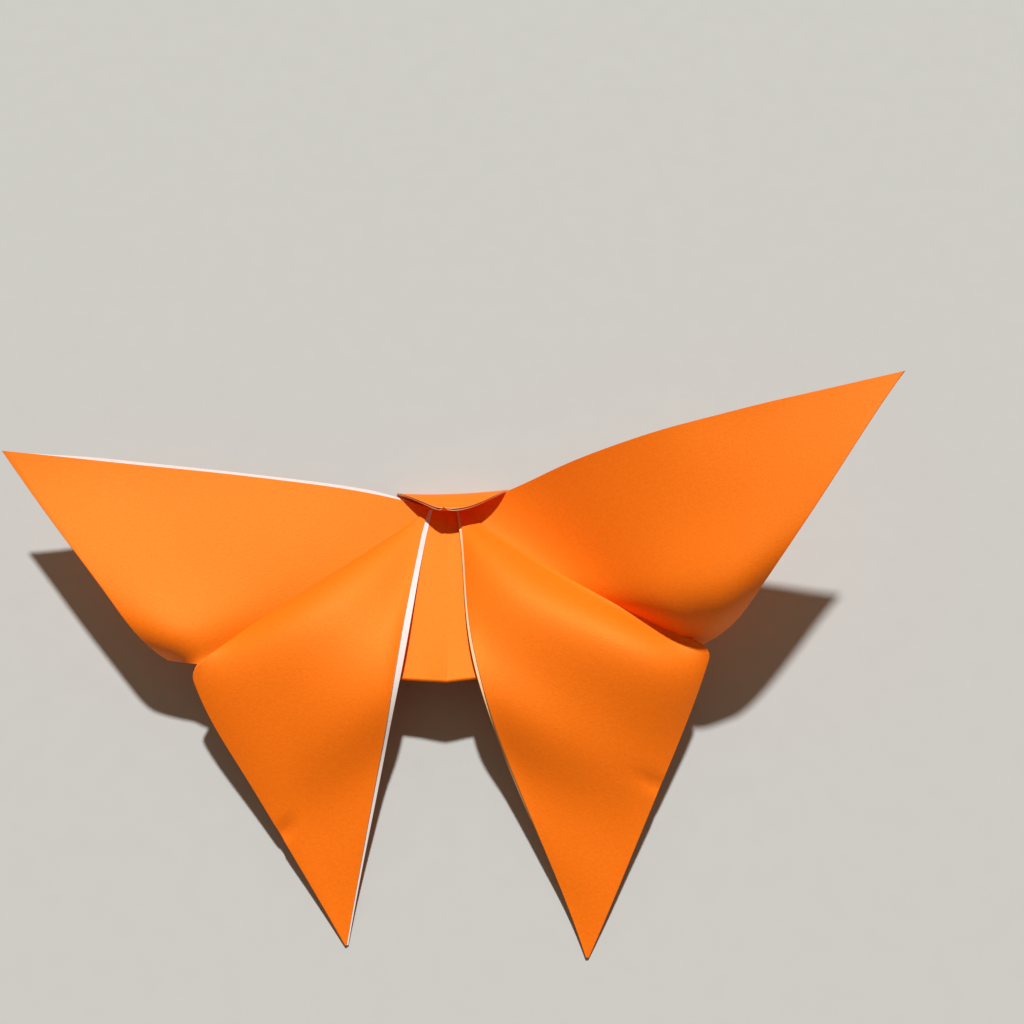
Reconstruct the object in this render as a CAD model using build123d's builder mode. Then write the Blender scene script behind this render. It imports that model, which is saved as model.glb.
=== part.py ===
"""Origami butterfly: one square sheet of paper folded into wings, body and locking tip."""
import os

from build123d import *

# Paper: one ply, and the air left between the two plies of a loose flap
ply = 0.1
air = 0.1
loose_pair = 2 * ply + air
pressed_stack = 3 * ply
back_stack = 4 * ply
bite = ply / 2

# Round of each fold, from the hard centre crease to the soft bottom hem
centre_fold = 0.25
ridge_fold = 0.42
hem_fold = 0.44
back_fold = 0.3
fold_overrun = 0.3
crease_overrun = 0.1
blunt_point = 0.4

# Body: its centre line from the neck down to the beak at the bottom hem
neck_height = 3.0
body_length = 33.5
beak_shift = 1.2
beak_height = 10.5

# Right half as it sits: lifted and bowed more than the left
right_neck_gap = 0.3
right_neck_setback = 0.4
right_corner_reach = 42.5
right_corner_depth = 29.6
right_corner_height = 13.9
right_hem_reach = 41.3
right_hem_depth = 27.8
right_hem_height = 11.6
right_wing_reach = 69.7
right_wing_rake = 7.6
right_wing_height = 35.0
right_tail_reach = 22.8
right_tail_depth = 73.3
right_arch_height = 11.5
right_crown = 3.4
right_bulge = 5.0

# Left half as it sits
left_neck_gap = 1.3
left_neck_setback = 0.6
left_corner_reach = 38.8
left_corner_depth = 32.5
left_corner_height = 11.8
left_hem_reach = 43.1
left_hem_depth = 29.8
left_hem_height = 9.4
left_wing_reach = 71.7
left_wing_rake = 3.0
left_wing_height = 17.0
left_tail_reach = 13.8
left_tail_depth = 71.6
left_arch_height = 11.5
left_crown = 4.0
left_bulge = 1.6

# Both halves: the rise of a ridge over the neck, and the tails on the table
ridge_rise = 0.1
tail_height = 0.5

# Apex of the sheet, folded up behind the body and hooked forward over the top edges
heel_shift = 0.6
heel_overhang = 0.9
heel_height = 0.3
heel_half_width = 8.4
hook_shift = 0.6
hook_reach = 3.5
hook_height = 8.6
hook_half_width = 0.45

# Ways of the edges: shares of the run out and back between their ends, and of a height
right_ridge_shares = [(0.448, 0.51, 0.576), (0.63, 0.694, 0.755), (0.917, 0.938, 0.942)]
right_lead_shares = [(0.127, 0.23, 0.157), (0.264, 0.45, 0.33), (0.447, 0.615, 0.57), (0.748, 0.824, 0.83)]
right_leg_shares = [(0.462, 0.516, 0.851), (0.759, 0.846, 0.629), (0.888, 0.957, 0.417)]
right_raw_shares = [(0.076, 0.173, 0.626), (0.143, 0.353, 0.93), (0.238, 0.467, 1)]
right_raw_shares += [(0.393, 0.587, 0.661), (0.64, 0.748, 0.365), (0.829, 0.87, 0.174)]
right_outer_shares = [(0.19, 0.228, 0.669), (0.463, 0.492, 0.417), (0.735, 0.753, 0.216)]
left_ridge_shares = [(0.531, 0.513, 0.619), (0.758, 0.732, 0.788), (0.926, 0.919, 0.949)]
left_lead_shares = [(0.251, 0.557, 0.406), (0.557, 0.756, 0.659), (0.784, 0.867, 0.847)]
left_leg_shares = [(0.379, 0.407, 0.929), (0.713, 0.752, 0.871), (0.842, 0.887, 0.806)]
left_raw_shares = [(0.19, 0.258, 0.757), (0.354, 0.478, 1), (0.519, 0.594, 0.661)]
left_raw_shares += [(0.715, 0.744, 0.374), (0.874, 0.877, 0.174)]
left_outer_shares = [(0.129, 0.183, 0.712), (0.322, 0.363, 0.525), (0.603, 0.623, 0.297)]
right_hook_shares = [(-0.131, 0.034, 0.698), (0.337, 0.797, 0.93)]
left_hook_shares = [(-0.03, 0.094, 0.605), (0.474, 0.525, 0.802)]

# Shares along a ridge: where the flap begins, where hem and body end on it, where the flap ends
ridge_start_share = 0.03
right_hem_share = 0.9
left_hem_share = 0.96
left_body_share = 0.88
ridge_end_share = 0.99

# Facets along and across each panel, and around each fold
wing_cells = (12, 10)
flap_cells = (8, 12)
body_cells = (2, 12)
back_cells = (1, 1)
hook_cells = (2, 8)
fold_sides = 10

# Share of a wing by which the air between its plies runs out past the raw edge
air_overrun_share = 0.03

# Bow of a panel off its edges: height, pull towards its bottom and its top edge, fullness across
right_flap_bow = (right_crown, 1, 3, 4)
left_flap_bow = (left_crown, 1, 3, 4)
right_wing_bow = (right_bulge, 6, 1, 4)
left_wing_bow = (left_bulge, 7, 1, 2)
flat = (0, 1, 1, 2)

up = Vector(0, 0, 1)
forward = Vector(0, 1, 0)


def curve(*points):
    """A free edge or crease of the sheet through the points it is seen to pass."""
    with BuildLine() as line:
        if len(points) == 2:
            Line(*points)
        else:
            Spline(*points)
    return line.edge()


def bowed(start, end, height, shares):
    """An edge bowed from start to end by shares of its run and of a height."""
    run = end - start
    ways = [Vector(start.X + run.X * a, start.Y + run.Y * b, height * c) for a, b, c in shares]
    return curve(start, *ways, end)


def lengthened(start, end, extra):
    """Ends of a straight crease running a little past both its corners."""
    step = (end - start).normalized() * extra
    return [start - step, end + step]


def raised(points, rise):
    """The same points, moved up or down by a rise."""
    return [point + up * rise for point in points]


def skin_point(edges, crown, u, v):
    """A point of the paper skin spanned by four edges, carried on smoothly past a raw edge."""
    if u < 0:
        return skin_point(edges, crown, 0, v) * 2 - skin_point(edges, crown, -u, v)
    if v < 0:
        return skin_point(edges, crown, u, 0) * 2 - skin_point(edges, crown, u, -v)
    top, bottom, start, end = edges
    across = (top @ u) * (1 - v) + (bottom @ u) * v
    along = (start @ v) * (1 - u) + (end @ v) * u
    near = (top @ 0) * ((1 - u) * (1 - v)) + (top @ 1) * (u * (1 - v))
    far = (bottom @ 0) * ((1 - u) * v) + (bottom @ 1) * (u * v)
    height, first, last, full = crown
    crest = first**first * last**last / (first + last) ** (first + last)
    arch = up * (height * (1 - abs(2 * u - 1) ** full) * v**first * (1 - v) ** last / crest)
    return across + along - near - far + arch


def steps(cells):
    """Even shares of a run cut into cells."""
    return [i / cells for i in range(cells + 1)]


def grid(edges, crown, u_shares, v_shares):
    """Points of a paper skin at the crossings of its shares."""
    return [[skin_point(edges, crown, u, v) for v in v_shares] for u in u_shares]


def facet(*corners):
    """One flat face."""
    with BuildLine() as outline:
        Polyline(*corners, close=True)
    return Face(outline.wire())


def sheet(rows, thickness, way=up):
    """Paper of a thickness about the points of a skin, in flat facets."""
    lift = way * (thickness / 2)
    faces = []
    for near, far in zip(rows, rows[1:]):
        for a, b, c, d in zip(near, far, far[1:], near[1:]):
            faces += [facet(a + lift, b + lift, c + lift), facet(a + lift, c + lift, d + lift)]
            faces += [facet(a - lift, b - lift, c - lift), facet(a - lift, c - lift, d - lift)]
    rim = rows[0] + [row[-1] for row in rows[1:]] + rows[-1][-2::-1] + [row[0] for row in rows[-2:0:-1]]
    for p, q in zip(rim, rim[1:] + rim[:1]):
        faces.append(facet(p - lift, q - lift, q + lift, p + lift))
    return Solid(Shell(faces))


def panel(edges, thickness, cells, crown=flat, way=up):
    """A whole panel of the folded sheet between its four edges."""
    return sheet(grid(edges, crown, steps(cells[0]), steps(cells[1])), thickness, way)


def fold(points, radius):
    """The paper's round turn along a crease through the points."""
    across = Plane(origin=points[0], z_dir=points[-1] - points[0])
    spoke = Vector(radius, 0, 0)
    turns = [spoke.rotate(Axis.Z, 360 * i / fold_sides) for i in range(fold_sides)]
    ring = [across.from_local_coords(turn) for turn in turns]
    rings = [[corner + point - points[0] for corner in ring] for point in points]
    faces = [facet(*rings[0]), facet(*rings[-1])]
    for near, far in zip(rings, rings[1:]):
        for a, b, c, d in zip(near, near[1:] + near[:1], far[1:] + far[:1], far):
            faces.append(facet(a, b, c, d))
    return Solid(Shell(faces))


# Heights between stacked panels
flap_rise = (loose_pair + pressed_stack) / 2 + bite
back_drop = (back_stack + pressed_stack) / 2 + bite
flap_lift = Location(up * flap_rise)
wing_lift = Location(up * bite)

# Corners of the folded sheet
neck = Vector(0, 0, neck_height)
beak = Vector(beak_shift, -body_length, beak_height)
right_neck = neck + Vector(right_neck_gap, -right_neck_setback, ridge_rise)
right_corner = Vector(right_corner_reach, -right_corner_depth, right_corner_height)
right_hem_end = Vector(right_hem_reach, -right_hem_depth, right_hem_height)
right_tip = Vector(right_wing_reach, right_wing_rake, right_wing_height)
right_tail = Vector(right_tail_reach, -right_tail_depth, tail_height)
right_tail_inner = right_tail - Vector(blunt_point, 0, 0)
left_neck = neck + Vector(-left_neck_gap, -left_neck_setback, ridge_rise)
left_corner = Vector(-left_corner_reach, -left_corner_depth, left_corner_height)
left_hem_end = Vector(-left_hem_reach, -left_hem_depth, left_hem_height)
left_tip = Vector(-left_wing_reach, left_wing_rake, left_wing_height)
left_tail = Vector(-left_tail_reach, -left_tail_depth, tail_height)
left_tail_inner = left_tail + Vector(blunt_point, 0, 0)
heel = Vector(heel_shift, heel_overhang, heel_height)
heel_right = heel + Vector(heel_half_width, 0, 0)
heel_left = heel - Vector(heel_half_width, 0, 0)
hook_right = Vector(hook_half_width - hook_shift, -hook_reach, hook_height)
hook_left = Vector(-hook_half_width - hook_shift, -hook_reach, hook_height)

# Creases: the ridge each lower wing is folded down along, and what hangs on it
right_crease = bowed(right_neck, right_corner, right_corner_height, right_ridge_shares)
left_crease = bowed(left_neck, left_corner, left_corner_height, left_ridge_shares)
right_ridge = right_crease.trim(ridge_start_share, right_hem_share)
left_ridge = left_crease.trim(ridge_start_share, left_hem_share)
right_wing_root = right_ridge.moved(wing_lift)
left_wing_root = left_ridge.moved(wing_lift)
left_body_side = left_crease.trim(ridge_start_share, left_body_share)
right_flap_root = right_crease.trim(ridge_start_share, ridge_end_share).moved(flap_lift)
left_flap_root = left_crease.trim(ridge_start_share, ridge_end_share).moved(flap_lift)

# Upper wings: two plies joined along the leg fold, open at the leading edge
right_wing_edges = [
    bowed(right_wing_root @ 0, right_tip, right_wing_height, right_lead_shares),
    curve(right_wing_root @ 1, right_hem_end),
    right_wing_root,
    bowed(right_tip, right_hem_end, right_wing_height, right_leg_shares),
]
left_wing_edges = [
    bowed(left_wing_root @ 0, left_tip, left_wing_height, left_lead_shares),
    curve(left_wing_root @ 1, left_hem_end),
    left_wing_root,
    bowed(left_tip, left_hem_end, left_wing_height, left_leg_shares),
]
with BuildPart() as right_upper_wing:
    add(panel(right_wing_edges, loose_pair, wing_cells, right_wing_bow))
with BuildPart() as left_upper_wing:
    add(panel(left_wing_edges, loose_pair, wing_cells, left_wing_bow))

# Lower wings: two plies joined along the outer fold, arched over the hem, tail on the table
right_flap_edges = [
    right_flap_root,
    curve(right_tail_inner, right_tail),
    bowed(right_flap_root @ 0, right_tail_inner, right_arch_height, right_raw_shares),
    bowed(right_flap_root @ 1, right_tail, right_corner_height, right_outer_shares),
]
left_flap_edges = [
    left_flap_root,
    curve(left_tail_inner, left_tail),
    bowed(left_flap_root @ 0, left_tail_inner, left_arch_height, left_raw_shares),
    bowed(left_flap_root @ 1, left_tail, left_corner_height, left_outer_shares),
]
with BuildPart() as right_lower_wing:
    add(panel(right_flap_edges, loose_pair, flap_cells, right_flap_bow))
with BuildPart() as left_lower_wing:
    add(panel(left_flap_edges, loose_pair, flap_cells, left_flap_bow))

# Body: the plies pressed together between the ridges and the hem
spine = curve(neck, beak)
right_body_edges = [curve(neck, right_ridge @ 0), curve(beak, right_ridge @ 1), spine, right_ridge]
left_body_edges = [curve(neck, left_body_side @ 0), curve(beak, left_body_side @ 1), spine, left_body_side]
with BuildPart() as right_body:
    add(panel(right_body_edges, pressed_stack, body_cells))
with BuildPart() as left_body:
    add(panel(left_body_edges, pressed_stack, body_cells))

# Back: the apex of the sheet, four plies, turned under along the hem
beak_back = beak - up * back_drop
right_back_end = right_hem_end - up * back_drop
left_back_end = left_hem_end - up * back_drop
right_back_edges = [
    curve(heel, heel_right),
    curve(beak_back, right_back_end),
    curve(heel, beak_back),
    curve(heel_right, right_back_end),
]
left_back_edges = [
    curve(heel, heel_left),
    curve(beak_back, left_back_end),
    curve(heel, beak_back),
    curve(heel_left, left_back_end),
]
with BuildPart() as right_back:
    add(panel(right_back_edges, back_stack, back_cells))
with BuildPart() as left_back:
    add(panel(left_back_edges, back_stack, back_cells))

# Locking tip: the point of the apex, curled up and forward over the top edges
hook_edges = [
    curve(heel_left, heel_right),
    curve(hook_left, hook_right),
    bowed(heel_left, hook_left, hook_height, left_hook_shares),
    bowed(heel_right, hook_right, hook_height, right_hook_shares),
]
with BuildPart() as locking_tip:
    add(panel(hook_edges, back_stack, hook_cells, way=forward))

# Air between the plies of each wing, closed at the folds and open at the raw edge
wing_air_shares = [steps(wing_cells[0])[1:-1], [-air_overrun_share] + steps(wing_cells[1])[:-1]]
flap_air_shares = [[-air_overrun_share] + steps(flap_cells[0])[:-1], steps(flap_cells[1])[1:-1]]
with BuildPart() as right_wing_air:
    add(sheet(grid(right_wing_edges, right_wing_bow, *wing_air_shares), air))
with BuildPart() as left_wing_air:
    add(sheet(grid(left_wing_edges, left_wing_bow, *wing_air_shares), air))
with BuildPart() as right_flap_air:
    add(sheet(grid(right_flap_edges, right_flap_bow, *flap_air_shares), air))
with BuildPart() as left_flap_air:
    add(sheet(grid(left_flap_edges, left_flap_bow, *flap_air_shares), air))

# One sheet: the panels run into one another at the round of every fold
right_ridge_line = [right_crease @ share for share in steps(wing_cells[0])]
left_ridge_line = [left_crease @ share for share in steps(wing_cells[0])]
with BuildPart() as folded:
    add(fold(lengthened(neck, beak, crease_overrun), centre_fold))
    add(fold(raised(right_ridge_line, flap_rise / 2), ridge_fold))
    add(fold(raised(left_ridge_line, flap_rise / 2), ridge_fold))
    add(fold(raised(lengthened(beak, right_hem_end, fold_overrun), -back_drop / 2), hem_fold))
    add(fold(raised(lengthened(beak, left_hem_end, fold_overrun), -back_drop / 2), hem_fold))
    add(fold(lengthened(heel, beak_back, crease_overrun), back_fold))
    add(fold(lengthened(heel_left, heel_right, crease_overrun), back_fold))
    add(right_body.part)
    add(left_body.part)
    add(right_back.part)
    add(left_back.part)
    add(right_upper_wing.part)
    add(left_upper_wing.part)
    add(right_lower_wing.part)
    add(left_lower_wing.part)
    add(locking_tip.part)
    add(right_wing_air.part, mode=Mode.SUBTRACT)
    add(left_wing_air.part, mode=Mode.SUBTRACT)
    add(right_flap_air.part, mode=Mode.SUBTRACT)
    add(left_flap_air.part, mode=Mode.SUBTRACT)

# Set down on the table with the origin under the middle of its outline
box = folded.part.bounding_box()
with BuildPart() as folded_sheet:
    with Locations((-box.center().X, -box.center().Y, -box.min.Z)):
        add(folded.part)

os.makedirs("parts", exist_ok=True)
folded_sheet.part.label = "folded_sheet"
export_step(folded_sheet.part, "parts/folded_sheet.step")
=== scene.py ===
"""Looks of the origami butterfly: the folded sheet with its plies, folds and paper."""
import math

import bpy
import numpy as np
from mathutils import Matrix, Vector


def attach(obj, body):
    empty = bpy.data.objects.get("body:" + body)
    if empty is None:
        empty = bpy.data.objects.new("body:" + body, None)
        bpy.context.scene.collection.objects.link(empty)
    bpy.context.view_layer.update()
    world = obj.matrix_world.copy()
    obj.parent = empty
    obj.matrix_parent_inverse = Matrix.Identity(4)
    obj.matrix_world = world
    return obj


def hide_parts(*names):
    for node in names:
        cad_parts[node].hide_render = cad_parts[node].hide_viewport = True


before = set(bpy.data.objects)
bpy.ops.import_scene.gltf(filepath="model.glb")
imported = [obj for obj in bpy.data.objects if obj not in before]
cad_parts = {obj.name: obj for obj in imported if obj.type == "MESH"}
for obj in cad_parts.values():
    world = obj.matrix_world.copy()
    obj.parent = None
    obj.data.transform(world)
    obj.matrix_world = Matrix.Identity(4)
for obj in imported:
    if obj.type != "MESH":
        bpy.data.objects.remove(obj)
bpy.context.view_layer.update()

# Place of the folding frame in the row's frame, millimetres
ROW_SHIFT = np.array([1.0, 32.85, 0.016])
MM = 0.001
UP = np.array([0.0, 0.0, 1.0])

# Paper and the rounds of its folds, millimetres
PLY = 0.1
HALF_PAIR = 0.12
BODY_STACK = 0.3
RIDGE_TURN = 0.45
HEM_TURN = 0.35
BLUNT = 0.4
HOOK_GAP = 0.25
HOOK_SAG = 0.6
PINCH = 0.6

# Shares of a panel that its small forms take up
MOST_STRIP = 0.6
HEM_FOLLOW = 0.35
WHITE_SHARE = 0.2
WEB_START = 0.86
WEB_END = 0.97
EDGE_SHARE = 0.06
LIFT_END = 0.75
DENT_ACROSS = 0.1
DENT_ALONG = 0.02
PINCH_SHARE = 0.07
THIN_FROM = 0.9
TAPER_FROM = 0.94
TAPER_RUN = 0.06
TAPER_BY = 0.6
LEAST_GAP = 0.2

# How steeply small forms come in from an edge, and the powers that bend them
SHOW_IN = 6
SHOW_OUT = 4
UNEVEN_IN = 6
UNEVEN_ENDS = 5
LIFT_IN = 12
LIFT_OUT = 3
GAP_IN = 4
GAP_OUT = 5
THIN_IN = 10
WING_GAP_POWER = 0.6
FLAP_GAP_POWER = 0.7
PINCH_POWER = 9
CORNER_CROWD = 1.6
RIDGE_CROWD = 1.3

# Unevenness of the paper: first seed, number of wave trains, length and height in millimetres
WAVE_SEED = 11
WAVE_TRAINS = 7
WAVE_LENGTH = 30.0
WAVE_HEIGHT = 0.35
FLAP_WAVES = 0.7

# Corners of the folded sheet and ways of its locking tip, millimetres and shares
NECK = np.array([0.0, 0.0, 3.0])
BEAK = np.array([1.2, -33.5, 10.5])
HEEL = np.array([0.6, 0.9, 0.3])
HEEL_HALF = np.array([8.4, 0.0, 0.0])
HOOK_TIP = np.array([-0.6, -3.5, 8.6])
HOOK_HALF = np.array([0.45, 0.0, 0.0])
RIGHT_HOOK_SHARES = [(-0.131, 0.034, 0.698), (0.337, 0.715, 0.92), (0.645, 0.97, 0.98)]
LEFT_HOOK_SHARES = [(-0.03, 0.094, 0.605), (0.474, 0.525, 0.802)]

# Heights between stacked panels and shares along a ridge
FLAP_RISE = 0.35
WING_RISE = 0.05
BACK_DROP = 0.4
RIDGE_START = 0.03
RIDGE_END = 0.99

# Steps of the paper's grid along and across a panel and round a fold
WING_STEPS = (64, 40)
FLAP_STEPS = (48, 64)
BODY_STEPS = (20, 60)
WEB_STEPS = (14, 4)
BACK_STEPS = (49, 40)
HOOK_STEPS = 24
TURN_STEPS = 8
ROLL_STEPS = 9
LINING_STEPS = 6

# Folds turned by more than this are drawn sharp, degrees
SHARP = 50

RIGHT = {
    "side": 1,
    "neck": (0.3, -0.4, 3.1),
    "corner": (42.5, -29.6, 13.9),
    "hem_end": (41.3, -27.8, 11.6),
    "tip": (69.7, 7.6, 35.0),
    "tail": (22.8, -73.3, 0.5),
    "arch": 11.5,
    "flap_bow": (5.2, 1.5, 8, 4),
    "wing_bow": (5.0, 6, 1, 4),
    "hem_share": 0.9,
    "body_share": 0.9,
    "ridge": [(0.448, 0.51, 0.576), (0.63, 0.694, 0.755), (0.917, 0.938, 0.942)],
    "lead": [(0.127, 0.23, 0.157), (0.264, 0.45, 0.33), (0.447, 0.615, 0.57), (0.748, 0.824, 0.83)],
    "leg": [(0.462, 0.516, 0.851), (0.759, 0.846, 0.629), (0.888, 0.957, 0.417)],
    "raw": [
        (0.076, 0.173, 0.626),
        (0.143, 0.353, 0.93),
        (0.238, 0.467, 1),
        (0.393, 0.587, 0.661),
        (0.64, 0.748, 0.365),
        (0.829, 0.87, 0.174),
    ],
    "outer": [(0.19, 0.228, 0.669), (0.463, 0.492, 0.417), (0.735, 0.753, 0.216)],
    "wing_open": 0.11,
    "wing_show": 0.004,
    "flap_open": 0.12,
    "strip": [(0, 0.7), (0.4, 0.65), (0.7, 0.35), (1, 0.05)],
    "edge_lift": 0.3,
    "round": (0.03, 0.035),
    "dents": [(0.97, 0.45, 0.5)],
}
LEFT = {
    "side": -1,
    "neck": (-1.3, -0.6, 3.1),
    "corner": (-38.8, -32.5, 11.8),
    "hem_end": (-43.1, -29.8, 9.4),
    "tip": (-71.7, 3.0, 17.0),
    "tail": (-13.8, -71.6, 0.5),
    "arch": 11.5,
    "flap_bow": (5.2, 1, 6, 2),
    "wing_bow": (1.6, 7, 1, 2),
    "hem_share": 0.96,
    "body_share": 0.88,
    "ridge": [(0.531, 0.513, 0.619), (0.758, 0.732, 0.788), (0.926, 0.919, 0.949)],
    "lead": [(0.251, 0.557, 0.406), (0.557, 0.756, 0.659), (0.784, 0.867, 0.847)],
    "leg": [(0.379, 0.407, 0.929), (0.713, 0.752, 0.871), (0.842, 0.887, 0.806)],
    "raw": [
        (0.19, 0.258, 0.757),
        (0.354, 0.478, 1),
        (0.519, 0.594, 0.661),
        (0.715, 0.744, 0.374),
        (0.874, 0.877, 0.174),
    ],
    "outer": [(0.129, 0.183, 0.712), (0.322, 0.363, 0.525), (0.603, 0.623, 0.297)],
    "wing_open": 0.17,
    "wing_show": 0.02,
    "flap_open": 0.17,
    "strip": [(0, 1.1), (0.06, 1.3), (0.3, 1.35), (0.6, 0.95), (1, 0.25)],
    "edge_lift": 0.6,
    "round": (0.035, 0.035),
    "dents": [(0.97, 0.6, 0.6)],
}


def unit(vectors):
    """The vectors at length one."""
    return vectors / np.maximum(np.linalg.norm(vectors, axis=-1, keepdims=True), 1e-9)


def square_to(vectors, ways):
    """What is left of the vectors square to the ways, at length one."""
    return unit(vectors - ways * np.sum(vectors * ways, axis=-1, keepdims=True))


def ease(x):
    """Zero to one, soft at both ends."""
    x = np.clip(x, 0, 1)
    return x * x * (3 - 2 * x)


def spline(points):
    """A smooth curve through the points, as a function of shares of its run."""
    pts = np.array(points, float)
    knots = np.concatenate([[0], np.cumsum(np.linalg.norm(np.diff(pts, axis=0), axis=1))])
    knots /= knots[-1]
    n = len(pts)
    if n == 2:
        return lambda t: pts[0] + np.outer(np.atleast_1d(t), pts[1] - pts[0])

    def end_slope(ids, t):
        slope = np.zeros(3)
        for i in ids:
            rest = [k for k in ids if k != i]
            scale = np.prod([knots[i] - knots[k] for k in rest])
            parts = [np.prod([t - knots[k] for k in rest if k != j]) for j in rest]
            slope += pts[i] * sum(parts) / scale
        return slope

    near = min(4, n)
    h = np.diff(knots)
    a = np.zeros((n, n))
    b = np.zeros((n, 3))
    a[0, 0] = a[-1, -1] = 1
    b[0] = end_slope(range(near), 0.0)
    b[-1] = end_slope(range(n - near, n), 1.0)
    for i in range(1, n - 1):
        a[i, i - 1 : i + 2] = [1 / h[i - 1], 2 / h[i - 1] + 2 / h[i], 1 / h[i]]
        b[i] = 3 * ((pts[i] - pts[i - 1]) / h[i - 1] ** 2 + (pts[i + 1] - pts[i]) / h[i] ** 2)
    slopes = np.linalg.solve(a, b)

    def at(t):
        t = np.atleast_1d(np.asarray(t, float))
        k = np.clip(np.searchsorted(knots, t, side="right") - 1, 0, n - 2)
        s = ((t - knots[k]) / h[k])[:, None]
        w = h[k][:, None]
        return (
            pts[k] * (2 * s**3 - 3 * s**2 + 1)
            + slopes[k] * w * (s**3 - 2 * s**2 + s)
            + pts[k + 1] * (3 * s**2 - 2 * s**3)
            + slopes[k + 1] * w * (s**3 - s**2)
        )

    return at


def bowed(start, end, height, shares):
    """An edge bowed from start to end by shares of its run and of a height."""
    run = np.subtract(end, start)
    ways = [(start[0] + run[0] * a, start[1] + run[1] * b, height * c) for a, b, c in shares]
    return spline([start, *ways, end])


def trimmed(edge, a, b, lift=0.0):
    """Part of an edge, lifted."""
    return lambda t: edge(a + (b - a) * np.atleast_1d(t)) + UP * lift


def spanned(edges, bow=(0, 1, 1, 2)):
    """The paper skin between four edges, over grids of u and v; goes on past a raw edge."""
    top, bottom, start, end = edges
    height, first, last, full = bow
    crest = first**first * last**last / (first + last) ** (first + last)
    c00, c10 = top(0)[0], top(1)[0]
    c01, c11 = bottom(0)[0], bottom(1)[0]

    def inside(u, v):
        uf, vf = u.ravel(), v.ravel()
        across = top(uf) * (1 - vf)[:, None] + bottom(uf) * vf[:, None]
        along = start(vf) * (1 - uf)[:, None] + end(vf) * uf[:, None]
        near = np.outer((1 - uf) * (1 - vf), c00) + np.outer(uf * (1 - vf), c10)
        far = np.outer((1 - uf) * vf, c01) + np.outer(uf * vf, c11)
        arch = height * (1 - np.abs(2 * uf - 1) ** full) * vf**first * (1 - vf) ** last / crest
        return (across + along - near - far + np.outer(arch, UP)).reshape(*u.shape, 3)

    def at(u, v):
        base = inside(np.maximum(u, 0), np.maximum(v, 0))
        mirror = inside(np.abs(u), np.abs(v))
        out = (u < 0) | (v < 0)
        return np.where(out[..., None], 2 * base - mirror, base)

    return at


def soft_corner(skin, across, along):
    """The skin with its corner at u = 1, v = 0 rounded off by these shares."""

    def at(u, v):
        q = np.maximum((u - 1 + across) / across, 0)
        r = np.maximum((along - v) / along, 0)
        pull = np.maximum(q, r) / np.maximum(np.hypot(q, r), 1e-9)
        both = (q > 0) & (r > 0)
        u = np.where(both, 1 - across + across * q * pull, u)
        v = np.where(both, along - along * r * pull, v)
        return skin(u, v)

    return at


def upward(grid):
    """Unit normals of a grid of points, on its upper side."""
    n = unit(np.cross(np.gradient(grid, axis=0), np.gradient(grid, axis=1)))
    return n * np.where(n[..., 2:3] < 0, -1, 1)


class Paper:
    """Collects the faces of the folded sheet, each with its side of the paper."""

    COLOURED, WHITE, EDGE = 0, 1, 2

    def __init__(self):
        self.points, self.faces, self.sides = [], [], []
        self.count = 0

    def add(self, quads, side):
        self.faces.append(quads)
        self.sides.append(np.broadcast_to(side, len(quads)))

    def grid(self, pts, side, flip):
        n, m = pts.shape[:2]
        ids = np.arange(n * m).reshape(n, m) + self.count
        self.points.append(pts.reshape(-1, 3))
        self.count += n * m
        quads = np.stack([ids[:-1, :-1], ids[1:, :-1], ids[1:, 1:], ids[:-1, 1:]], -1).reshape(-1, 4)
        self.add(quads[:, ::-1] if flip else quads, side)
        return ids

    def ply(self, out, inward, thickness=PLY, inside=WHITE, turned=0):
        """A ply: out is its coloured side, inward the unit vectors to its lining."""
        i, j = out.shape[0] // 2, out.shape[1] // 2
        face = np.cross(out[i + 1, j] - out[i, j], out[i, j + 1] - out[i, j])
        flip = float(np.dot(face, inward[i, j])) > 0
        a = self.grid(out, self.COLOURED, flip)
        rows, columns = out.shape[0] - 1, out.shape[1] - 1
        lining = np.full((rows, columns), inside)
        lining[rows - turned :] = self.COLOURED
        b = self.grid(out + inward * thickness, lining.ravel(), not flip)
        for p, q in ((a[0], b[0]), (b[-1], a[-1]), (b[:, 0], a[:, 0]), (a[:, -1], b[:, -1])):
            rim = np.stack([p[:-1], q[:-1], q[1:], p[1:]], -1)
            self.add(rim[:, ::-1] if flip else rim, self.EDGE)

    def build(self, name):
        mesh = bpy.data.meshes.new(name)
        pts = (np.concatenate(self.points) + ROW_SHIFT) * MM
        faces = np.concatenate(self.faces)
        mesh.from_pydata(pts.tolist(), [], faces.tolist())
        mesh.polygons.foreach_set("material_index", np.concatenate(self.sides).astype(np.int32))
        mesh.polygons.foreach_set("use_smooth", np.ones(len(faces), bool))
        mesh.update()
        mesh.set_sharp_from_angle(angle=math.radians(SHARP))
        obj = bpy.data.objects.new(name, mesh)
        bpy.context.scene.collection.objects.link(obj)
        return obj


def pair(skin, front_shares, back_shares, half_gap):
    """Two plies of one sheet turned round the fold at u = 1: the front with the turn, and the back."""
    front, back = skin(*front_shares), skin(*back_shares)
    front_up, back_up = upward(front), upward(back)
    edge_up = front_up[-1]
    outward = square_to(front[-1] - front[-2], edge_up)
    gap = half_gap(*front_shares)[..., None]
    rows, ways = [front + front_up * gap], [-front_up]
    for step in range(1, TURN_STEPS + 1):
        share = step / TURN_STEPS
        way = edge_up * math.cos(math.pi * share) + outward * math.sin(math.pi * share)
        edge = front[-1] * (1 - share) + back[-1] * share
        rows.append((edge + way * gap[-1])[None])
        ways.append(-way[None])
    under = back - back_up * half_gap(*back_shares)[..., None]
    return (np.concatenate(rows), np.concatenate(ways)), (under, back_up)


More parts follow.
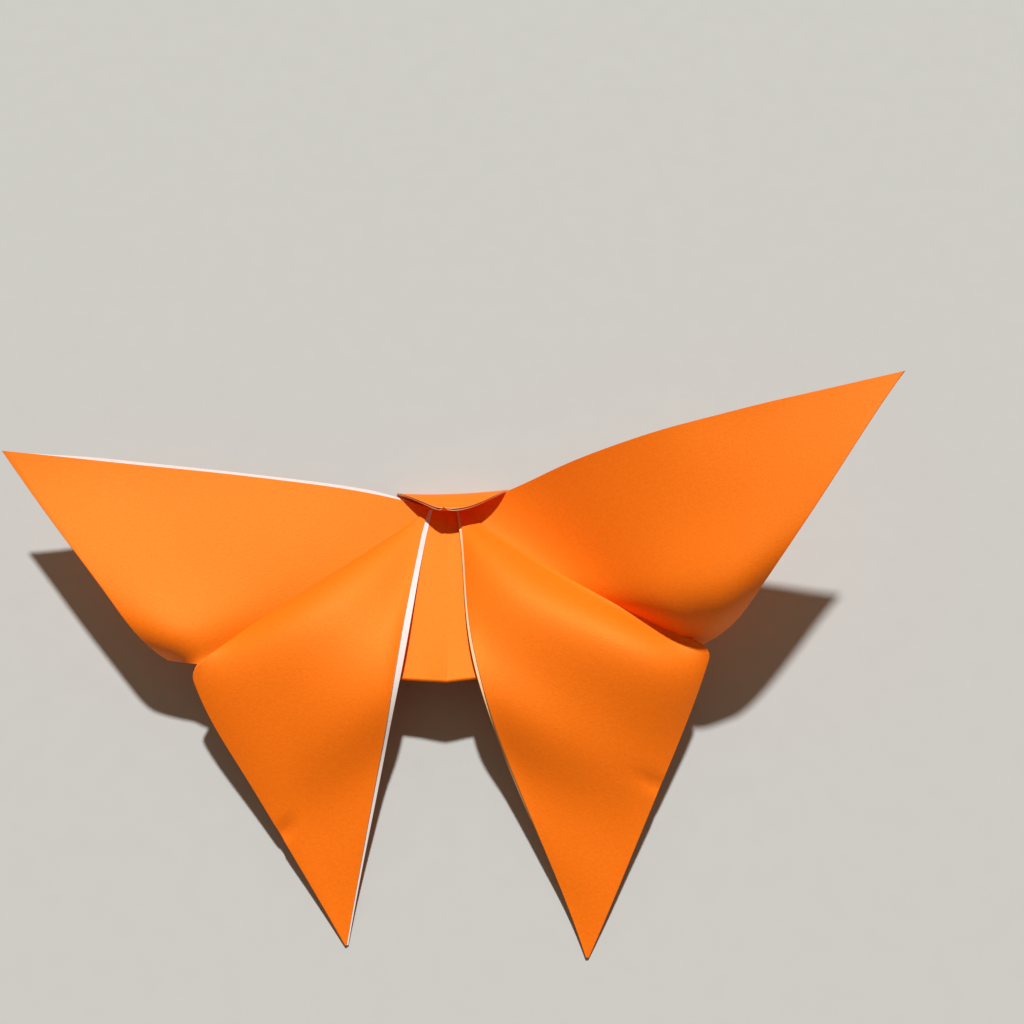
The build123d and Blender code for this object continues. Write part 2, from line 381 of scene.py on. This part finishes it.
def rolled(out, inward, radii):
    """A ply with its first column turned over a ridge and tucked in below."""
    over = square_to(out[:, 0] - out[:, 1], inward[:, 0])
    centre = out[:, 0] + inward[:, 0] * radii[:, None]
    columns, ways = [], []
    for step in range(ROLL_STEPS, 0, -1):
        angle = math.pi * step / ROLL_STEPS
        way = over * math.sin(angle) - inward[:, 0] * math.cos(angle)
        columns.append(centre + way * radii[:, None])
        ways.append(-way)
    out = np.concatenate([np.stack(columns, 1), out], 1)
    inward = np.concatenate([np.stack(ways, 1), inward], 1)
    return out, inward


def waves(seed, length, size):
    """Soft seeded unevenness of the paper, over the ground plan."""
    rng = np.random.default_rng(seed)
    trains = [(rng.normal(size=2) / length, rng.uniform(0, 2 * math.pi)) for _ in range(WAVE_TRAINS)]

    def at(points):
        return size * sum(np.sin(points[..., :2] @ k * 2 * math.pi + p) for k, p in trains) / len(trains)

    return at


def half(paper, part):
    """One half of the butterfly: upper wing and lower wing."""
    corner, hem_end, tip, tail = (np.array(part[k]) for k in ("corner", "hem_end", "tip", "tail"))
    crease = bowed(part["neck"], corner, corner[2], part["ridge"])
    wing_root = trimmed(crease, RIDGE_START, part["hem_share"], WING_RISE)
    flap_root = trimmed(crease, RIDGE_START, RIDGE_END, FLAP_RISE)
    lead = bowed(wing_root(0)[0], tip, tip[2], part["lead"])
    leg = bowed(tip, hem_end, tip[2], part["leg"])
    foot = spline([wing_root(1)[0], hem_end])
    wing = spanned([lead, foot, wing_root, leg], part["wing_bow"])
    tail_inner = tail - np.array([BLUNT * part["side"], 0, 0])
    raw = bowed(flap_root(0)[0], tail_inner, part["arch"], part["raw"])
    outer = bowed(flap_root(1)[0], tail, corner[2], part["outer"])
    flap = spanned([flap_root, spline([tail_inner, tail]), raw, outer], part["flap_bow"])
    flap = soft_corner(flap, *part["round"])
    uneven = waves(WAVE_SEED + part["side"], WAVE_LENGTH, WAVE_HEIGHT)

    # Upper wing: the back ply reaches a little past the front one at the leading edge
    def wing_skin(u, v):
        pts = wing(u, v)
        fade = 4 * np.clip(u, 0, 1) * (1 - np.clip(u, 0, 1)) * np.clip(1 - v, 0, 1)
        return pts + UP * (uneven(pts) * fade)[..., None]

    def wing_gap(u, v):
        opening = np.sin(np.clip(u, 0, 1) * math.pi) * (1 - np.clip(v, 0, 1)) ** WING_GAP_POWER
        return HALF_PAIR + part["wing_open"] * opening

    u, v = np.meshgrid(np.linspace(0, 1, WING_STEPS[0]), np.linspace(0, 1, WING_STEPS[1]), indexing="ij")
    show = part["wing_show"] * ease(u * SHOW_IN) * ease((1 - u) * SHOW_OUT)
    front, back = pair(wing_skin, (u, v), (u, v - show * (1 - v)), wing_gap)
    lining = np.where(v[0, 1:] < WHITE_SHARE, Paper.WHITE, Paper.COLOURED)
    paper.ply(*front, inside=lining)
    paper.ply(*back, inside=lining)

    # Web that closes the wing's foot down to the hem
    on_hem = BEAK + WEB_START * (hem_end - BEAK)
    shares = np.linspace(0, WEB_END, WEB_STEPS[0])
    high, low = foot(shares), on_hem + np.outer(shares, hem_end - on_hem)
    web = high[:, None] + np.linspace(0, 1, WEB_STEPS[1])[:, None] * (low - high)[:, None]
    paper.ply(web, np.broadcast_to([0.0, 1.0, 0.0], web.shape), inside=Paper.COLOURED)

    # Lower wing: the under ply shows past the front one along the inner edge
    def flap_skin(u, v):
        pts = flap(u, v)
        ends = np.clip(v * UNEVEN_ENDS, 0, 1) * np.clip((1 - v) * UNEVEN_ENDS, 0, 1)
        drop = -FLAP_WAVES * uneven(pts) * (np.clip(u * UNEVEN_IN, 0, 1) * ends)
        for du, dv, depth in part["dents"]:
            drop += depth * np.exp(-(((u - du) / DENT_ACROSS) ** 2) - ((v - dv) / DENT_ALONG) ** 2)
        edge = part["edge_lift"] * np.exp(-((u / EDGE_SHARE) ** 2))
        lift = edge * ease(v * LIFT_IN) * ease((LIFT_END - v) * LIFT_OUT)
        return pts + UP * (lift - drop)[..., None]

    def flap_gap(u, v):
        ends = np.clip(v * GAP_IN, 0, 1) * np.clip((1 - v) * GAP_OUT, LEAST_GAP, 1)
        opening = (1 - np.clip(u, 0, 1)) ** FLAP_GAP_POWER * ends
        return HALF_PAIR + part["flap_open"] * opening

    across = 1 - (1 - np.linspace(0, 1, FLAP_STEPS[0])) ** CORNER_CROWD
    along = np.linspace(0, 1, FLAP_STEPS[1]) ** RIDGE_CROWD
    u, v = np.meshgrid(across, along, indexing="ij")
    width = np.linalg.norm(flap(np.ones_like(v), v) - flap(np.zeros_like(v), v), axis=-1)
    stations, widths = np.transpose(part["strip"])
    back_off = np.minimum(np.interp(v, stations, widths) / width, MOST_STRIP)
    front, back = pair(flap_skin, (u + back_off * (1 - u), v), (u, v), flap_gap)
    top_radii = RIDGE_TURN + (HALF_PAIR - RIDGE_TURN) * ease((u[:, 0] - THIN_FROM) * THIN_IN)
    turn_radii = HALF_PAIR * (1 - np.arange(1, TURN_STEPS + 1) / TURN_STEPS)
    paper.ply(*rolled(*front, np.concatenate([top_radii, turn_radii])), turned=TURN_STEPS + LINING_STEPS)
    # On the right the under ply's white side takes the peach cut-edge colour: painted warm light on the
    # white strip, not its own colour
    paper.ply(*back, inside=Paper.EDGE if part["side"] > 0 else Paper.WHITE)
    return crease


def pinch(share):
    """Height of the pinched beak beside the centre crease."""
    return PINCH * np.exp(-((share / PINCH_SHARE) ** 2))


def body(paper, part, crease):
    """Half of the body, its plies pressed together between the centre crease and a ridge."""
    ridge = trimmed(crease, RIDGE_START, part["body_share"])
    on_hem = BEAK + HEM_FOLLOW * (np.array(part["hem_end"]) - BEAK)
    foot = spline([BEAK, on_hem, ridge(1)[0]])
    edges = [spline([NECK, ridge(0)[0]]), foot, spline([NECK, BEAK]), ridge]
    u, v = np.meshgrid(np.linspace(0, 1, BODY_STEPS[0]), np.linspace(0, 1, BODY_STEPS[1]), indexing="ij")
    out = spanned(edges)(u, v)
    out = out + UP * (pinch(u) * v**PINCH_POWER)[..., None]
    up = upward(out)
    paper.ply(out + up * (BODY_STACK / 2), -up, BODY_STACK, Paper.COLOURED)


def back_sheet(paper, thickness):
    """Apex of the sheet: round the hem, up behind the body, over the top as the locking tip."""
    share = np.linspace(-1, 1, BACK_STEPS[0])
    right_end, left_end = np.array(RIGHT["hem_end"]), np.array(LEFT["hem_end"])
    ends = np.where(share[:, None] > 0, right_end, left_end)
    hem = BEAK + np.abs(share)[:, None] * (ends - BEAK) + np.outer(pinch(share), UP)
    heel = HEEL + np.outer(share, HEEL_HALF)
    hook_right = bowed(HEEL + HEEL_HALF, HOOK_TIP + HOOK_HALF, HOOK_TIP[2], RIGHT_HOOK_SHARES)
    hook_left = bowed(HEEL - HEEL_HALF, HOOK_TIP - HOOK_HALF, HOOK_TIP[2], LEFT_HOOK_SHARES)
    away = unit(hem - heel)
    normal = unit(np.cross(np.gradient(hem, axis=0), away))
    normal *= np.sign(normal[:, 2:3])
    centre = hem - UP * (BACK_DROP / 2)
    turn = HEM_TURN * (1 - TAPER_BY * ease((np.abs(share) - TAPER_FROM) / TAPER_RUN))[:, None]
    rows, ways = [], []
    for step in range(ROLL_STEPS + 1):
        angle = math.pi * step / ROLL_STEPS
        way = normal * math.cos(angle) + away * math.sin(angle)
        rows.append(centre + way * turn)
        ways.append(-way)
    under = rows[-1]
    for t in np.linspace(0, 1, BACK_STEPS[1])[1:]:
        rows.append(under + (heel - under) * t)
        ways.append(normal)
    for t in np.linspace(0, 1, HOOK_STEPS)[1:]:
        a, b = hook_left(t)[0], hook_right(t)[0]
        sag = HOOK_SAG * math.sin(math.pi * t) * (1 - share**2)
        rows.append(a + np.outer((share + 1) / 2, b - a) - np.outer(sag, [0, 1, 0]))
        ways.append(np.tile([0.0, -1.0, 0.0], (len(share), 1)))
    out, inward = np.stack(rows, 1), np.stack(ways, 1)
    square = upward(out)
    square *= np.sign(np.sum(square * inward, axis=2, keepdims=True))
    paper.ply(out, square, thickness, Paper.COLOURED)

    # The plies of the tip part a little at its rim
    order = np.arange(out.shape[1])
    part_by = HOOK_GAP * ease((order - order[-1] + HOOK_STEPS) / HOOK_STEPS)
    paper.ply(out + square * (thickness + part_by)[None, :, None], square, thickness, Paper.COLOURED)


paper = Paper()
for part in (RIGHT, LEFT):
    body(paper, part, half(paper, part))
back_sheet(paper, PLY)
sheet = paper.build("folded_paper")


def ramp(nodes, stops):
    """A ramp of colours at shares of its run."""
    node = nodes.new("ShaderNodeValToRGB")
    elements = node.color_ramp.elements
    elements[0].position, elements[0].color = stops[0]
    elements[1].position, elements[1].color = stops[-1]
    for position, color in stops[1:-1]:
        elements.new(position).color = color
    return node


def shade(color, by):
    """The colour made lighter or darker."""
    return (*(min(c * by, 1.0) for c in color), 1.0)


# How far the paper's roughness wanders to each side
GLOSS_SPREAD = 0.06
PLAIN = (1.0, 1.0, 1.0)


def paper_material(name, color, mottle, roughness, tooth_depth, sheen, tint):
    """Matte paper: fine clouds of fibre in its colour, fine tooth in its surface."""
    mat = bpy.data.materials.new(name)
    mat.use_nodes = True
    nodes, links = mat.node_tree.nodes, mat.node_tree.links
    shader = nodes["Principled BSDF"]
    coords = nodes.new("ShaderNodeTexCoord")
    clouds = nodes.new("ShaderNodeTexNoise")
    clouds.inputs["Scale"].default_value = 1900.0
    clouds.inputs["Detail"].default_value = 4.0
    clouds.inputs["Roughness"].default_value = 0.6
    tones = [(0.3, shade(color, 1 - mottle)), (0.5, shade(color, 1)), (0.7, shade(color, 1 + mottle))]
    tone = ramp(nodes, tones)
    links.new(coords.outputs["Object"], clouds.inputs["Vector"])
    links.new(clouds.outputs["Fac"], tone.inputs["Fac"])
    links.new(tone.outputs["Color"], shader.inputs["Base Color"])
    tooth = nodes.new("ShaderNodeTexNoise")
    tooth.inputs["Scale"].default_value = 3200.0
    tooth.inputs["Detail"].default_value = 3.0
    links.new(coords.outputs["Object"], tooth.inputs["Vector"])
    relief = nodes.new("ShaderNodeBump")
    relief.inputs["Strength"].default_value = tooth_depth
    relief.inputs["Distance"].default_value = 0.0001
    links.new(tooth.outputs["Fac"], relief.inputs["Height"])
    links.new(relief.outputs["Normal"], shader.inputs["Normal"])
    gloss = nodes.new("ShaderNodeMapRange")
    gloss.inputs["To Min"].default_value = roughness - GLOSS_SPREAD
    gloss.inputs["To Max"].default_value = roughness + GLOSS_SPREAD
    links.new(tooth.outputs["Fac"], gloss.inputs["Value"])
    links.new(gloss.outputs["Result"], shader.inputs["Roughness"])
    shader.inputs["Specular IOR Level"].default_value = sheen
    shader.inputs["Specular Tint"].default_value = (*tint, 1.0)
    return mat


orange = paper_material(
    "orange_side",
    color=(0.95, 0.17, 0.003),
    mottle=0.05,
    roughness=0.6,
    tooth_depth=0.35,
    sheen=0.6,
    tint=(1.0, 0.85, 0.25),
)
white = paper_material(
    "white_side",
    color=(0.8, 0.72, 0.69),
    mottle=0.03,
    roughness=0.7,
    tooth_depth=0.3,
    sheen=0.3,
    tint=PLAIN,
)
cut = paper_material(
    "cut_edge",
    color=(0.9, 0.55, 0.28),
    mottle=0.04,
    roughness=0.75,
    tooth_depth=0.3,
    sheen=0.3,
    tint=PLAIN,
)
for mat in (orange, white, cut):
    sheet.data.materials.append(mat)

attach(sheet, "root")
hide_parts("folded_sheet")

# Pale table
bpy.ops.mesh.primitive_plane_add(size=40.0, location=(0, 0, 0))
floor = bpy.context.object
floor.name = "table"
table = bpy.data.materials.new("table_top")
table.use_nodes = True
table_shader = table.node_tree.nodes["Principled BSDF"]
table_noise = table.node_tree.nodes.new("ShaderNodeTexNoise")
table_noise.inputs["Scale"].default_value = 9000.0
table_stops = [(0.3, (0.525, 0.535, 0.515, 1)), (0.7, (0.535, 0.545, 0.525, 1))]
table_tone = ramp(table.node_tree.nodes, table_stops)
table.node_tree.links.new(table_noise.outputs["Fac"], table_tone.inputs["Fac"])
table.node_tree.links.new(table_tone.outputs["Color"], table_shader.inputs["Base Color"])
table_shader.inputs["Roughness"].default_value = 0.8
table_shader.inputs["Specular IOR Level"].default_value = 0.2
floor.data.materials.append(table)

# Sun from behind the butterfly; the surround lights it dimly and looks pale
world = bpy.data.worlds.new("surround")
bpy.context.scene.world = world
world.use_nodes = True
world_nodes, world_links = world.node_tree.nodes, world.node_tree.links
fill = world_nodes["Background"]
fill.inputs["Color"].default_value = (1, 0.74, 0.5, 1)
fill.inputs["Strength"].default_value = 0.17
pale = world_nodes.new("ShaderNodeBackground")
pale.inputs["Color"].default_value = (0.63, 0.62, 0.58, 1)
rays = world_nodes.new("ShaderNodeLightPath")
looked_at = rays.outputs["Is Camera Ray"]
for ray in ("Is Glossy Ray", "Is Transmission Ray"):
    either = world_nodes.new("ShaderNodeMath")
    either.operation = "MAXIMUM"
    world_links.new(looked_at, either.inputs[0])
    world_links.new(rays.outputs[ray], either.inputs[1])
    looked_at = either.outputs[0]
choice = world_nodes.new("ShaderNodeMixShader")
world_links.new(looked_at, choice.inputs[0])
world_links.new(fill.outputs[0], choice.inputs[1])
world_links.new(pale.outputs[0], choice.inputs[2])
world_links.new(choice.outputs[0], world_nodes["World Output"].inputs["Surface"])
lamp = bpy.data.lights.new("key", "SUN")
lamp.energy = 3.7
lamp.angle = math.radians(3)
key = bpy.data.objects.new("key", lamp)
key.rotation_euler = Vector((-0.06, -0.68, -1)).to_track_quat("-Z", "Y").to_euler()
bpy.context.scene.collection.objects.link(key)

# Camera at the photograph's angle
lens = bpy.data.cameras.new("camera")
lens.sensor_width = 36.0
lens.lens = 36.91
lens.clip_start = 0.005
camera = bpy.data.objects.new("camera", lens)
camera.location = (0.01233, -0.0375, 0.17202)
camera.rotation_euler = (math.radians(22), 0, 0)
bpy.context.scene.collection.objects.link(camera)
bpy.context.scene.camera = camera
bpy.context.scene.view_settings.view_transform = "Standard"
